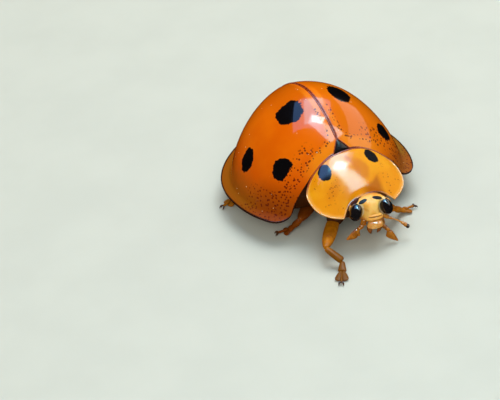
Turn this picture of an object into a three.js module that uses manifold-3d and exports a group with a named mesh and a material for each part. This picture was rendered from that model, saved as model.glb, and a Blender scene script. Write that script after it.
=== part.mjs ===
// Giant ladybird (Megalocaria dilatata), standing, life size, in millimetres.
// +Z is up, the head looks along -Y and the insect's own left side is at +X.
import * as THREE from "three";
import { mergeVertices } from "three/addons/utils/BufferGeometryUtils.js";
import Module from "manifold-3d";

const wasm = await Module();
wasm.setup();

const v = (x, y, z) => new THREE.Vector3(x, y, z);

// Driving dimensions.
const PART_GAP = 0.05;
const SHELL = 0.55;

// Wing cases: plan outline about the highest point of the dome.
const ELYTRA_HALF_WIDTH = 5.3;
const ELYTRA_REAR = 5.62;
const ELYTRA_FRONT = 5.26;
const REAR_ROUNDNESS = 1.71;
const FRONT_ROUNDNESS = 2.46;
const BASE_Y = -3.43;
const BASE_BOW = 0.015;
const BASE_BOW_POWER = 1.93;
const SHOULDER_SHARPNESS = 18;

// Wing cases: heights of the dome and of the flat rim round it.
const RIM_HEIGHT = 1.4;
const RIM_WIDTH = 0.58;
const RIM_EDGE = 0.15;
const RIM_BEVEL = 0.6;
const DOME_FOOT = 1.45;
const DOME_RISE = 5.13;
const DOME_POWER = 1.85;
const DOME_SIDE = 0.66;
const DOME_FRONT = 0.67;
const DOME_REAR = 0.56;
const RIM_BLEND = 0.2;
const SHOULDER_BLEND = 0.5;

// Belly.
const BELLY_HEIGHT = 0.95;
const WAIST_Y = -0.1;
const PROTHORAX_HEIGHT = 1.1;
const PROTHORAX_Y = -4.4;
const PROTHORAX_HALF_WIDTH = 2.05;
const PROTHORAX_HALF_LENGTH = 0.88;

// Scutellum, the small triangle between the wing cases.
const SCUTELLUM_HALF_WIDTH = 0.43;
const SCUTELLUM_LENGTH = 0.38;

// Pronotum, the shield behind the head.
const PRONOTUM_HALF_WIDTH = 2.77;
const PRONOTUM_Y = -4.59;
const PRONOTUM_REAR = 1.1;
const PRONOTUM_FRONT = 1.68;
const PRONOTUM_REAR_ROUNDNESS = 2.9;
const PRONOTUM_FRONT_ROUNDNESS = 2.46;
const PRONOTUM_TOP = 4.36;
const PRONOTUM_FALL = 2.41;
const PRONOTUM_FALL_POWER = 1.43;
const PRONOTUM_ARCH = 1.48;
const PRONOTUM_ARCH_CHANGE = -1.16;
const PRONOTUM_ARCH_POWER = 2.35;
const PRONOTUM_THICKNESS = 0.8;
const PRONOTUM_CORNER_X = 1.58;
const NOTCH_DEPTH = 0.72;
const NOTCH_POWER = 3;

// Head: the origin of its own frame lies midway between the eyes.
const HEAD_AT = new THREE.Vector3(0, -6.36, 2.25);
const HEAD_TURN = THREE.MathUtils.degToRad(-8);
const HEAD_TILT = THREE.MathUtils.degToRad(4.5);
const EYE_X = 0.87;
const EYE_RADII = new THREE.Vector3(0.34, 0.4, 0.48);
const HEAD_RADII = new THREE.Vector3(1.12, 0.72, 0.78);
const HEAD_NARROWING = 0.42;
const CLYPEUS_RADII = new THREE.Vector3(0.5, 0.22, 0.2);
const CLYPEUS_AT = new THREE.Vector3(0, -0.42, -0.3);
const LABRUM_RADII = new THREE.Vector3(0.42, 0.25, 0.27);
const LABRUM_AT = new THREE.Vector3(0, -0.45, -0.66);

// Feelers, in the head's frame. The right antenna is folded back along the cheek.
const FEELER = 0.46;
const PALPS = {
  left: {
    stalk: [v(0.5, -0.28, -0.78), v(0.66, -0.38, -1.0), v(0.9, -0.42, -1.25)],
    blade: [v(0.98, -0.43, -1.3), v(1.17, -0.5, -1.72)],
  },
  right: {
    stalk: [v(-0.5, -0.28, -0.55), v(-0.66, -0.36, -0.68), v(-0.84, -0.41, -0.84)],
    blade: [v(-0.88, -0.42, -0.9), v(-1.22, -0.49, -1.33)],
  },
};
const ANTENNAE = {
  left: [v(0.84, -0.24, -0.58), v(1.05, -0.3, -0.67), v(1.52, -0.4, -0.91), v(1.7, -0.44, -1.04),
    v(2.0, -0.5, -1.33)],
  right: [v(-0.96, -0.06, -0.58), v(-1.02, 0.12, -0.66), v(-0.98, 0.42, -0.78), v(-0.9, 0.58, -0.82),
    v(-0.8, 0.78, -0.86)],
};

// Legs: hip, knee and ankle as x, y, z, and the toe as x, y on the floor.
const LEGS = {
  front_left: [[1.15, -4.45, 0.95], [1.85, -5.6, 1.05], [2.4, -5.0, 0.42], [3.05, -4.9]],
  front_right: [[-1.45, -4.55, 0.95], [-3.06, -6.52, 1.0], [-2.55, -7.36, 0.45], [-3.08, -8.15]],
  middle_left: [[1.3, -1.8, 0.7], [2.9, -1.7, 0.72], [3.5, -1.3, 0.42], [4.2, -1.05]],
  middle_right: [[-1.3, -1.9, 0.7], [-2.9, -3.4, 0.98], [-3.0, -2.92, 0.42], [-3.55, -2.78]],
  hind_left: [[1.3, 0.9, 0.75], [3.3, 2.0, 0.75], [4.1, 2.08, 0.42], [4.8, 2.24]],
  hind_right: [[-1.3, 0.8, 0.75], [-3.3, 1.9, 0.75], [-4.1, 1.73, 0.42], [-4.85, 1.5]],
};
const FEMUR_WIDTH = 0.78;
const FEMUR_HEIGHT = 0.6;
const KNEE_SIZE = 0.5;
const TIBIA_SIZE = 0.48;
const FOOT_WIDTH = 0.44;
const PAD_WIDTH = 0.72;
const FOOT_HEIGHT = 0.5;
const SOLE_PRESS = 0.05;
const CLAW_LENGTH = 0.66;
const CLAW_SPREAD = 0.15;
const CLAW_SIZE = 0.25;
const CLAW_TIP = 0.12;

const SHELL_COLOUR = 0xcc5a10;
const PRONOTUM_COLOUR = 0xeba834;
const FACE_COLOUR = 0xf0c070;
const BROWN = 0xa06a10;
const BLACK = 0x0b0b0d;

function finish(colour, roughness) {
  return new THREE.MeshStandardMaterial({ color: colour, roughness, metalness: 0 });
}

// Closed body through a row of closed rings, ending in a point at each end.
function loft(rings, first, last) {
  const points = [first, ...rings.flat(), last];
  const n = rings[0].length;
  const index = [];
  const end = points.length - 1;
  for (let j = 0; j < n; j += 1) {
    const next = (j + 1) % n;
    index.push(0, 1 + next, 1 + j);
    for (let i = 0; i + 1 < rings.length; i += 1) {
      const a = 1 + i * n + j;
      const b = 1 + i * n + next;
      index.push(a, b, a + n, b, b + n, a + n);
    }
    index.push(end, end - n + j, end - n + next);
  }
  return outward(new THREE.BufferGeometry().setFromPoints(points).setIndex(index));
}

// Turns the faces round when they point inwards.
function outward(geometry) {
  const at = geometry.getAttribute("position");
  const index = geometry.index;
  const [a, b, c] = [v(0, 0, 0), v(0, 0, 0), v(0, 0, 0)];
  let volume = 0;
  for (let i = 0; i < index.count; i += 3) {
    a.fromBufferAttribute(at, index.getX(i));
    b.fromBufferAttribute(at, index.getX(i + 1));
    c.fromBufferAttribute(at, index.getX(i + 2));
    volume += a.dot(b.cross(c));
  }
  if (volume < 0) {
    for (let i = 0; i < index.count; i += 3) {
      const swapped = index.getX(i);
      index.setX(i, index.getX(i + 1));
      index.setX(i + 1, swapped);
    }
  }
  return geometry;
}

// Plate over a closed plan outline, between two height functions.
function plate(outline, centre, steps, top, bottom, bottomSteps) {
  const ring = (t, height) =>
    outline.map((p) => {
      const x = centre.x + t * (p.x - centre.x);
      const y = centre.y + t * (p.y - centre.y);
      return v(x, y, height(x, y));
    });
  const rings = [
    ...steps.map((t) => ring(t, top)),
    ...bottomSteps.map((t) => ring(t, bottom)),
  ];
  return loft(
    rings,
    v(centre.x, centre.y, top(centre.x, centre.y)),
    v(centre.x, centre.y, bottom(centre.x, centre.y)),
  );
}

// Leg or feeler segment along a row of points, with round ends.
// Widths lie level and heights stand across them, one of each for every point.
function limb(points, widths, heights, sides = 8, steps = 2) {
  const curve = new THREE.CatmullRomCurve3(points, false, "centripetal");
  const last = points.length - 1;
  const stations = [];
  const add = (t, beyond, scale) => {
    const at = curve.getPoint(t);
    const along = curve.getTangent(t);
    const k = Math.min(Math.floor(t * last), last - 1);
    const f = t * last - k;
    const w = THREE.MathUtils.lerp(widths[k], widths[k + 1], f) / 2;
    const h = THREE.MathUtils.lerp(heights[k], heights[k + 1], f) / 2;
    at.addScaledVector(along, beyond * Math.min(w, h));
    stations.push({ at, along, w: w * scale, h: h * scale });
  };
  add(0, -0.75, 0.6);
  const count = last * steps;
  for (let i = 0; i <= count; i += 1) add(i / count, 0, 1);
  add(1, 0.75, 0.6);
  const rings = stations.map(({ at, along, w, h }) => {
    const side = v(0, 0, 1).cross(along).normalize();
    const lift = along.clone().cross(side).normalize();
    return Array.from({ length: sides }, (_, j) => {
      const turn = ((j + 0.5) / sides) * 2 * Math.PI;
      return at
        .clone()
        .addScaledVector(side, w * Math.cos(turn))
        .addScaledVector(lift, h * Math.sin(turn));
    });
  });
  const tip = ({ at, along, w }, sign) => at.clone().addScaledVector(along, sign * w * 0.35);
  return loft(rings, tip(stations[0], -1), tip(stations.at(-1), 1));
}

function ball(radii, centre) {
  const geometry = new THREE.SphereGeometry(1, 12, 8);
  geometry.scale(radii.x, radii.y, radii.z);
  geometry.translate(centre.x, centre.y, centre.z);
  return geometry;
}

function block(x0, x1, y0, y1, z0, z1) {
  const geometry = new THREE.BoxGeometry(x1 - x0, y1 - y0, z1 - z0);
  geometry.translate((x0 + x1) / 2, (y0 + y1) / 2, (z0 + z1) / 2);
  return geometry;
}

function solid(geometry) {
  const bare = geometry.clone();
  bare.deleteAttribute("normal");
  bare.deleteAttribute("uv");
  const merged = mergeVertices(bare, 1e-4);
  return new wasm.Manifold(
    new wasm.Mesh({
      numProp: 3,
      vertProperties: merged.getAttribute("position").array,
      triVerts: new Uint32Array(merged.index.array),
    }),
  );
}

function surface(body) {
  const mesh = body.getMesh();
  return new THREE.BufferGeometry()
    .setAttribute("position", new THREE.BufferAttribute(mesh.vertProperties, 3))
    .setIndex(new THREE.BufferAttribute(mesh.triVerts, 1));
}

const join = (...geometries) =>
  surface(geometries.map(solid).reduce((all, next) => all.add(next)));

const cut = (geometry, ...tools) =>
  surface(tools.map(solid).reduce((left, tool) => left.subtract(tool), solid(geometry)));

// The same, without the crumbs that a grazing cut leaves beside the piece.
function trim(geometry, ...tools) {
  const pieces = solid(cut(geometry, ...tools)).decompose();
  return surface(pieces.sort((a, b) => b.volume() - a.volume())[0]);
}

const keep = (geometry, tool) => surface(solid(geometry).intersect(solid(tool)));

const BELOW_FLOOR = block(-20, 20, -20, 20, -5, 0);

function node(name, geometry, colour, roughness = 0.3) {
  const shape = geometry.clone();
  shape.computeVertexNormals();
  const mesh = new THREE.Mesh(shape, finish(colour, roughness));
  mesh.name = name;
  return mesh;
}

// Distance from the dome's axis to the full oval, at an angle measured from the rear.
function ovalRadius(angle) {
  const across = Math.abs(Math.sin(angle)) / ELYTRA_HALF_WIDTH;
  const rear = 0.5 + 0.5 * Math.cos(angle);
  const length = THREE.MathUtils.lerp(ELYTRA_FRONT, ELYTRA_REAR, rear);
  const power = THREE.MathUtils.lerp(FRONT_ROUNDNESS, REAR_ROUNDNESS, rear);
  return (across ** power + (Math.abs(Math.cos(angle)) / length) ** power) ** (-1 / power);
}

const baseY = (x) => BASE_Y - BASE_BOW * Math.abs(x) ** BASE_BOW_POWER;

// The same, with the front cut off along the base of the wing cases.
function elytraRadius(angle) {
  const oval = ovalRadius(angle);
  const forward = -Math.cos(angle);
  if (forward < 0.01) return oval;
  let radius = oval;
  for (let pass = 0; pass < 5; pass += 1) {
    const base = -baseY(radius * Math.sin(angle)) / forward;
    radius = Math.min(base, oval);
  }
  const base = -baseY(radius * Math.sin(angle)) / forward;
  return (oval ** -SHOULDER_SHARPNESS + base ** -SHOULDER_SHARPNESS) ** (-1 / SHOULDER_SHARPNESS);
}

// Height of the dome, drawn in and lowered by a depth below the outer face.
function domeHeight(x, y, depth) {
  const angle = Math.atan2(Math.abs(x), y);
  const share = Math.hypot(x, y) / ovalRadius(angle);
  const side = Math.sin(angle) ** 2;
  const end = THREE.MathUtils.lerp(DOME_FRONT, DOME_REAR, 0.5 + 0.5 * Math.cos(angle));
  const power = THREE.MathUtils.lerp(end, DOME_SIDE, side);
  const foot = 1 - (RIM_WIDTH + depth) / ELYTRA_HALF_WIDTH;
  const inside = 1 - (share / foot) ** DOME_POWER;
  return DOME_FOOT + (DOME_RISE - depth) * Math.sign(inside) * Math.abs(inside) ** power;
}

function elytraHeight(x, y) {
  const dome = domeHeight(x, y, 0);
  const share = Math.hypot(x, y) / ovalRadius(Math.atan2(Math.abs(x), y));
  const slope = (DOME_FOOT - RIM_HEIGHT) / (RIM_WIDTH / ELYTRA_HALF_WIDTH);
  const rim = RIM_HEIGHT + slope * (1 - share);
  const larger = Math.max(dome, rim);
  const forward = THREE.MathUtils.smoothstep(-y / Math.hypot(x, y, 1e-9), 0.1, 0.5);
  const soft = THREE.MathUtils.lerp(RIM_BLEND, SHOULDER_BLEND, forward);
  const total = Math.exp((dome - larger) / soft) + Math.exp((rim - larger) / soft);
  return larger + soft * Math.log(total);
}

function around(radius, count) {
  return Array.from({ length: count }, (_, i) => {
    const angle = (2 * Math.PI * (i + 0.5)) / count;
    return new THREE.Vector2(radius(angle) * Math.sin(angle), radius(angle) * Math.cos(angle));
  });
}

function edgePoint(angle) {
  const radius = elytraRadius(angle);
  return [radius * Math.sin(angle), radius * Math.cos(angle)];
}

const AXIS = new THREE.Vector2(0, 0);
const DOME_STEPS = [0.18, 0.38, 0.56, 0.7, 0.8, 0.87, 0.92, 1];
const HOLLOW_STEPS = [0.35, 0.65, 0.85, 0.96, 1];

function scutellumOutline(grow) {
  const w = SCUTELLUM_HALF_WIDTH + grow;
  const tip = BASE_Y + SCUTELLUM_LENGTH + 1.6 * grow;
  const front = BASE_Y - 0.02 - grow;
  const corners = [[w, front], [w * 0.55, front + 0.4 * (tip - front)], [0.06, tip]];
  const left = corners.map(([x, y]) => new THREE.Vector2(x, y));
  const right = corners.map(([x, y]) => new THREE.Vector2(-x, y)).reverse();
  return [...left, ...right];
}

function scutellumBody(grow, rise, depth) {
  const centre = new THREE.Vector2(0, BASE_Y + 0.2);
  const top = (x, y) => elytraHeight(x, y) + rise;
  const bottom = (x, y) => elytraHeight(x, y) - depth;
  return plate(scutellumOutline(grow), centre, [1], top, bottom, [1]);
}

// Both wing cases as one shell, open below and in front.
function elytraShell() {
  const underside = (x, y) => {
    const angle = Math.atan2(Math.abs(x), y);
    const inward = elytraRadius(angle) - Math.hypot(x, y);
    const bevel = Math.min(1, inward / RIM_BEVEL);
    return elytraHeight(...edgePoint(angle)) - THREE.MathUtils.lerp(RIM_EDGE, SHELL, bevel);
  };
  const bevelled = 1 - RIM_BEVEL / ELYTRA_HALF_WIDTH;
  const outline = around(elytraRadius, 54);
  const outer = plate(outline, AXIS, DOME_STEPS, elytraHeight, underside, [1, bevelled]);
  const inset = 1 - (RIM_WIDTH + SHELL) / ELYTRA_HALF_WIDTH;
  const hollow = plate(
    around((angle) => ovalRadius(angle) * inset, 36),
    AXIS,
    HOLLOW_STEPS,
    (x, y) => domeHeight(x, y, SHELL),
    () => 0,
    [1],
  );
  const slot = block(-PART_GAP / 2, PART_GAP / 2, -9, 9, -1, 9);
  return cut(outer, hollow, slot, scutellumBody(PART_GAP, 1, SHELL + 1));
}

// Body under the wing cases, from one station along Y to another.
function trunk(from, to, extra = 0) {
  const depth = SHELL + PART_GAP - extra;
  const inset = 1 - (RIM_WIDTH + depth) / ELYTRA_HALF_WIDTH;
  const sole = (x, y) => BELLY_HEIGHT - extra + 0.012 * (x * x + 0.6 * y * y);
  const whole = plate(
    around((angle) => ovalRadius(angle) * inset, 26),
    AXIS,
    HOLLOW_STEPS,
    (x, y) => domeHeight(x, y, depth) - 0.02,
    sole,
    [1, 0.6],
  );
  return keep(whole, block(-9, 9, from, to, -1, 9));
}

function pronotumOutline() {
  const half = [];
  const steps = 22;
  for (let i = 0; i <= steps; i += 1) {
    const angle = (Math.PI * i) / steps;
    const rear = Math.cos(angle) > 0;
    const length = rear ? PRONOTUM_REAR : PRONOTUM_FRONT;
    const power = rear ? PRONOTUM_REAR_ROUNDNESS : PRONOTUM_FRONT_ROUNDNESS;
    const across = Math.sin(angle) / PRONOTUM_HALF_WIDTH;
    const along = Math.abs(Math.cos(angle)) / length;
    const radius = (across ** power + along ** power) ** (-1 / power);
    const x = radius * Math.sin(angle);
    const y = PRONOTUM_Y + radius * Math.cos(angle);
    if (rear || x > PRONOTUM_CORNER_X) half.push(new THREE.Vector2(x, y));
  }
  const cornerY = notchY(PRONOTUM_CORNER_X);
  half.push(new THREE.Vector2(PRONOTUM_CORNER_X, cornerY));
  for (const share of [0.93, 0.84, 0.72, 0.55, 0.3, 0.08]) {
    half.push(new THREE.Vector2(share * PRONOTUM_CORNER_X, notchY(share * PRONOTUM_CORNER_X)));
  }
  const inner = half.filter((p) => p.x > 0.01);
  const other = inner.map((p) => new THREE.Vector2(-p.x, p.y)).reverse();
  return [...inner, ...other];
}

// Front edge of the pronotum, hollowed for the head.
function notchY(x) {
  const power = PRONOTUM_FRONT_ROUNDNESS;
  const across = (PRONOTUM_CORNER_X / PRONOTUM_HALF_WIDTH) ** power;
  const cornerY = PRONOTUM_Y - PRONOTUM_FRONT * (1 - across) ** (1 / power);
  return cornerY + NOTCH_DEPTH * (1 - (Math.abs(x) / PRONOTUM_CORNER_X) ** NOTCH_POWER);
}

function pronotumHeight(x, y) {
  const rearY = PRONOTUM_Y + PRONOTUM_REAR;
  const forward = (rearY - y) / (PRONOTUM_REAR + PRONOTUM_FRONT);
  const share = THREE.MathUtils.clamp(forward, 0, 1.2);
  const arch = PRONOTUM_ARCH + PRONOTUM_ARCH_CHANGE * share;
  const ridge = PRONOTUM_TOP - PRONOTUM_FALL * share ** PRONOTUM_FALL_POWER;
  return ridge - arch * (Math.abs(x) / PRONOTUM_HALF_WIDTH) ** PRONOTUM_ARCH_POWER;
}

function pronotumBody() {
  const centre = new THREE.Vector2(0, PRONOTUM_Y);
  const inside = (x, y) => pronotumHeight(x, y) - PRONOTUM_THICKNESS;
  const edge = (x, y) => pronotumHeight(x, y) - RIM_EDGE;
  const steps = [0.25, 0.5, 0.7, 0.85, 1];
  const outline = pronotumOutline();
  const ring = (t, height) =>
    outline.map((p) => {
      const x = t * p.x;
      const y = centre.y + t * (p.y - centre.y);
      return v(x, y, height(x, y));
    });
  const rings = [...steps.map((t) => ring(t, pronotumHeight)), ring(1, edge), ring(0.72, inside)];
  const top = v(0, centre.y, pronotumHeight(0, centre.y));
  return loft(rings, top, v(0, centre.y, inside(0, centre.y)));
}

// Chest under the pronotum, which carries the front legs.
function prothoraxBody(grow) {
  const centre = new THREE.Vector2(0, PROTHORAX_Y);
  const outline = Array.from({ length: 24 }, (_, i) => {
    const angle = (2 * Math.PI * (i + 0.5)) / 24;
    const squared = (value) => Math.sign(value) * Math.abs(value) ** 0.75;
    const x = squared(Math.cos(angle)) * (PROTHORAX_HALF_WIDTH + grow);
    const y = centre.y + squared(Math.sin(angle)) * (PROTHORAX_HALF_LENGTH + grow);
    return new THREE.Vector2(x, y);
  });
  const top = (x, y) => pronotumHeight(x, y) - PRONOTUM_THICKNESS - 3 * PART_GAP;
  const bottom = (x) => PROTHORAX_HEIGHT - grow + 0.12 * x * x;
  return plate(outline, centre, [0.5, 1], top, bottom, [1]);
}

const ladybird = new THREE.Group();
const leftHalf = block(0, 9, -9, 9, -1, 9);
const rightHalf = block(-9, 0, -9, 9, -1, 9);
const shell = elytraShell();
ladybird.add(
  node("elytron_left", keep(shell, leftHalf), SHELL_COLOUR, 0.15),
  node("elytron_right", keep(shell, rightHalf), SHELL_COLOUR, 0.15),
  node("scutellum", scutellumBody(0, 0.02, SHELL), BLACK, 0.15),
  node("abdomen", trunk(WAIST_Y + PART_GAP / 2, 9), BROWN),
  node("thorax", trunk(BASE_Y + PART_GAP, WAIST_Y - PART_GAP / 2), BROWN),
  node("prothorax", prothoraxBody(0), BROWN),
  node("pronotum", pronotumBody(), PRONOTUM_COLOUR, 0.2),
);

// The head and all that it carries lie in the head's own frame.
const head = new THREE.Group();
head.position.copy(HEAD_AT);
head.rotation.set(0, HEAD_TILT, HEAD_TURN, "ZYX");

function headCapsule() {
  const geometry = new THREE.SphereGeometry(1, 16, 10);
  const at = geometry.getAttribute("position");
  for (let i = 0; i < at.count; i += 1) {
    const [x, y, z] = [at.getX(i), at.getY(i), at.getZ(i)];
    const narrow = 1 - HEAD_NARROWING * THREE.MathUtils.smoothstep(-z, -0.1, 1);
    const bluff = Math.sign(y) * Math.abs(y) ** 0.8;
    at.setXYZ(i, x * HEAD_RADII.x * narrow, bluff * HEAD_RADII.y, z * HEAD_RADII.z);
  }
  return geometry.translate(0, HEAD_RADII.y - 0.45, -0.1);
}

const grown = (radii) => radii.clone().addScalar(PART_GAP);
const SIDES = { left: 1, right: -1 };
const eyeCentre = (side) => v(side * EYE_X, 0, 0);
const clypeusRoom = ball(grown(CLYPEUS_RADII), CLYPEUS_AT);
const labrumRoom = ball(grown(LABRUM_RADII), LABRUM_AT);
const sockets = Object.values(SIDES).map((side) => ball(grown(EYE_RADII), eyeCentre(side)));
const capsule = headCapsule();
const headRoom = join(capsule, clypeusRoom, labrumRoom, ...sockets);
head.add(
  node("head", cut(capsule, clypeusRoom, labrumRoom, ...sockets), FACE_COLOUR),
  node("clypeus", cut(ball(CLYPEUS_RADII, CLYPEUS_AT), labrumRoom), FACE_COLOUR),
  node("labrum", ball(LABRUM_RADII, LABRUM_AT), FACE_COLOUR, 0.15),
);
for (const [name, side] of Object.entries(SIDES)) {
  head.add(node(`eye_${name}`, ball(EYE_RADII, eyeCentre(side)), BLACK, 0.05));
}

// Lower lip, with its two short feelers.
const lipFeeler = (side) =>
  limb([v(side * 0.15, -0.3, -0.8), v(side * 0.2, -0.36, -1.12)], [0.46, 0.3], [0.46, 0.3], 6, 1);
const lip = join(lipFeeler(1), lipFeeler(-1));
head.add(node("labium", cut(lip, capsule, labrumRoom), BROWN));

// Jaw feelers, each a stalk with an axe-shaped end.
for (const [name, { stalk, blade }] of Object.entries(PALPS)) {
  const axe = limb(blade, [0.36, 0.62], [FEELER, FEELER]);
  const stem = limb(stalk, [0.32, 0.32, 0.32], [FEELER, FEELER, 0.36], 8, 1);
  head.add(
    node(`palp_stalk_${name}`, trim(stem, headRoom, axe), BROWN),
    node(`palp_blade_${name}`, axe, BROWN),
  );
}

for (const [name, [root, bend, middle, neck, tip]] of Object.entries(ANTENNAE)) {
  const even = [FEELER, FEELER, FEELER];
  const whip = limb([bend, middle, neck], even, even, 8, 1);
  const scape = limb([root, bend], even, even, 8, 1);
  const club = limb([neck, tip], [FEELER, 0.52], [FEELER, 0.5], 8, 1);
  head.add(
    node(`antenna_scape_${name}`, trim(scape, headRoom, whip), BROWN),
    node(`antenna_${name}`, trim(whip, headRoom), BROWN),
    node(`antenna_club_${name}`, trim(club, headRoom, whip), BROWN),
  );
}
ladybird.add(head);

// One of a foot's two claws, along a level direction from its root.
function claw(root, out, side) {
  const across = v(-out.y, out.x, 0).multiplyScalar(side * CLAW_SPREAD);
  const at = (share, spread, height) =>
    root
      .clone()
      .addScaledVector(out, share * CLAW_LENGTH)
      .addScaledVector(across, spread)
      .setZ(height);
  const points = [at(0.5, 0.3, 0.22), at(0.76, 0.9, 0.22), at(1, 1, 0.16)];
  const sizes = [CLAW_SIZE, CLAW_SIZE, CLAW_TIP];
  return limb(points, sizes, sizes, 5, 1);
}

// Each leg ends in a two-lobed foot whose sole lies flat on the floor, and a pair of claws.
const bodyRoom = [trunk(BASE_Y, 9, PART_GAP), prothoraxBody(PART_GAP)];
for (const [name, [hip, knee, ankle, toe]] of Object.entries(LEGS)) {
  const [hipAt, kneeAt, ankleAt] = [v(...hip), v(...knee), v(...ankle)];
  const toeAt = v(...toe, FOOT_HEIGHT / 2 - SOLE_PRESS);
  const out = toeAt.clone().sub(ankleAt).setZ(0).normalize();
  const along = (share, height) => ankleAt.clone().lerp(toeAt, share).setZ(height);

  const thigh = hipAt.clone().lerp(kneeAt, 0.5);
  const femurPath = [hipAt, thigh, hipAt.clone().lerp(kneeAt, 0.9)];
  const femurWidths = [FEMUR_WIDTH, FEMUR_WIDTH, KNEE_SIZE];
  const femur = limb(femurPath, femurWidths, [FEMUR_HEIGHT, FEMUR_HEIGHT, KNEE_SIZE]);
  const tibia = limb([kneeAt, ankleAt], [KNEE_SIZE, TIBIA_SIZE], [TIBIA_SIZE, TIBIA_SIZE]);
  const footPath = [along(0.14, 0.36), along(0.45, 0.26), along(0.8, toeAt.z), toeAt];
  const footWidths = [FOOT_WIDTH, FOOT_WIDTH, PAD_WIDTH, FOOT_WIDTH];
  const footHeights = [FOOT_WIDTH, FOOT_HEIGHT, FOOT_HEIGHT, FOOT_WIDTH];
  const foot = limb(footPath, footWidths, footHeights, 8, 1);
  const clawPair = join(claw(toeAt, out, -1), claw(toeAt, out, 1));
  ladybird.add(
    node(`femur_${name}`, trim(femur, ...bodyRoom, tibia), BROWN),
    node(`tibia_${name}`, tibia, BROWN),
    node(`foot_${name}`, trim(foot, tibia, BELOW_FLOOR), BROWN),
    node(`claws_${name}`, clawPair, BLACK),
  );
}

// The origin lies on the floor under the middle of the whole insect.
const box = new THREE.Box3().setFromObject(ladybird, true);
const centre = box.getCenter(v(0, 0, 0));
ladybird.position.set(-centre.x, -centre.y, -box.min.z);

export default ladybird;
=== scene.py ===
# Giant ladybird, standing, life size. Shapes are worked out in millimetres in the insect's own
# frame: floor at z 0, highest point of the back above x 0, y 0, head towards -Y, its left at +X.
import math

import bpy
from mathutils import Matrix, Vector


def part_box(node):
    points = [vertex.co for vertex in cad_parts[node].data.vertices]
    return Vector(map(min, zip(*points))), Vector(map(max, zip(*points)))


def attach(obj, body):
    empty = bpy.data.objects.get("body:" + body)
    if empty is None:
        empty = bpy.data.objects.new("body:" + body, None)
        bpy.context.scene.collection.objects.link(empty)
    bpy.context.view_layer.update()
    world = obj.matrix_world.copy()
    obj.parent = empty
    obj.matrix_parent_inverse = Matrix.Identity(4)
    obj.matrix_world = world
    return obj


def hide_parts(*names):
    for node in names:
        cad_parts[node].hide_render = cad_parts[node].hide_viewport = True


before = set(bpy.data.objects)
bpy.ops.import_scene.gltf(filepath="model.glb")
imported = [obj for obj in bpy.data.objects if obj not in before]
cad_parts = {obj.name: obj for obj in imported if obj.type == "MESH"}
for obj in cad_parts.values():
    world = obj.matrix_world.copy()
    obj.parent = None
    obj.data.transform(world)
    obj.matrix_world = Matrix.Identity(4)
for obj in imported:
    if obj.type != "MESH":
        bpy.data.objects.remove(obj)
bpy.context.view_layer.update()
bpy.ops.object.select_all(action="DESELECT")

# ---- Wing cases ----
# Two hard, domed covers of orange cuticle that meet in a seam along the back. Each has a flat,
# thin rim at its side and a fine raised border all round, and it is hinged at the shoulder.
MM = 0.001
EYES_AT = Vector((0, -6.36, 2.25))
GAP = 0.05

HALF_WIDTH = 5.3
REAR = 5.62
FRONT = 5.26
REAR_ROUNDNESS = 1.71
FRONT_ROUNDNESS = 2.46
BASE_Y = -3.41
BASE_BOW = 0.25
BASE_BOW_WIDTH = 2.7
SHOULDER_SHARPNESS = 18
RIM_HEIGHT = 1.4
RIM_WIDTH = 0.58
DOME_FOOT = 1.45
DOME_RISE = 5.13
DOME_POWER = 1.85
DOME_SIDE = 0.66
DOME_FRONT = 0.67
DOME_REAR = 0.56
RIM_BLEND = 0.28
SHOULDER_BLEND = 0.6
SCUTELLUM_HALF_WIDTH = 0.43
SCUTELLUM_LENGTH = 0.38


def middle(name):
    low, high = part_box(name)
    return (low + high) / 2


ORIGIN = (middle("eye_left") + middle("eye_right")) / 2 - EYES_AT * MM
BODY = Matrix.Translation(ORIGIN) @ Matrix.Scale(MM, 4)


def blend_of(low, high, share):
    return low + (high - low) * share


def smooth(value, start, end):
    share = min(1, max(0, (value - start) / (end - start)))
    return share * share * (3 - 2 * share)


def oval_radius(angle):
    rear = 0.5 + 0.5 * math.cos(angle)
    across = abs(math.sin(angle)) / HALF_WIDTH
    along = abs(math.cos(angle)) / blend_of(FRONT, REAR, rear)
    power = blend_of(FRONT_ROUNDNESS, REAR_ROUNDNESS, rear)
    return (across ** power + along ** power) ** (-1 / power)


def base_y(x):
    notch = max(0, 1 - abs(x) / (SCUTELLUM_HALF_WIDTH + GAP)) * (SCUTELLUM_LENGTH + GAP)
    return BASE_Y - BASE_BOW * smooth(abs(x), 0.2, BASE_BOW_WIDTH) + notch


def edge_radius(angle):
    oval = oval_radius(angle)
    forward = -math.cos(angle)
    if forward < 0.01:
        return oval
    base = oval
    for _ in range(9):
        base = -base_y(min(base, oval) * math.sin(angle)) / forward
    return (oval ** -SHOULDER_SHARPNESS + base ** -SHOULDER_SHARPNESS) ** (-1 / SHOULDER_SHARPNESS)


def out_share(x, y):
    """How far out a point is, as a share of the oval's radius there."""
    return math.hypot(x, y) / oval_radius(math.atan2(abs(x), y))


def dome_height(x, y, depth=0.0):
    angle = math.atan2(abs(x), y)
    end = blend_of(DOME_FRONT, DOME_REAR, 0.5 + 0.5 * math.cos(angle))
    power = blend_of(end, DOME_SIDE, math.sin(angle) ** 2)
    foot = 1 - (RIM_WIDTH + depth) / HALF_WIDTH
    inside = 1 - (out_share(x, y) / foot) ** DOME_POWER
    return DOME_FOOT + (DOME_RISE - depth) * math.copysign(abs(inside) ** power, inside)


def shell_height(x, y):
    dome = dome_height(x, y)
    slope = (DOME_FOOT - RIM_HEIGHT) / (RIM_WIDTH / HALF_WIDTH)
    rim = RIM_HEIGHT + slope * (1 - out_share(x, y))
    larger = max(dome, rim)
    forward = smooth(-y / max(math.hypot(x, y), 1e-9), 0.1, 0.5)
    soft = blend_of(RIM_BLEND, SHOULDER_BLEND, forward)
    total = math.exp((dome - larger) / soft) + math.exp((rim - larger) / soft)
    return larger + soft * math.log(total)


def shell_point(x, y, lift=0.0):
    return Vector((x, y, shell_height(x, y) + lift))


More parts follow.
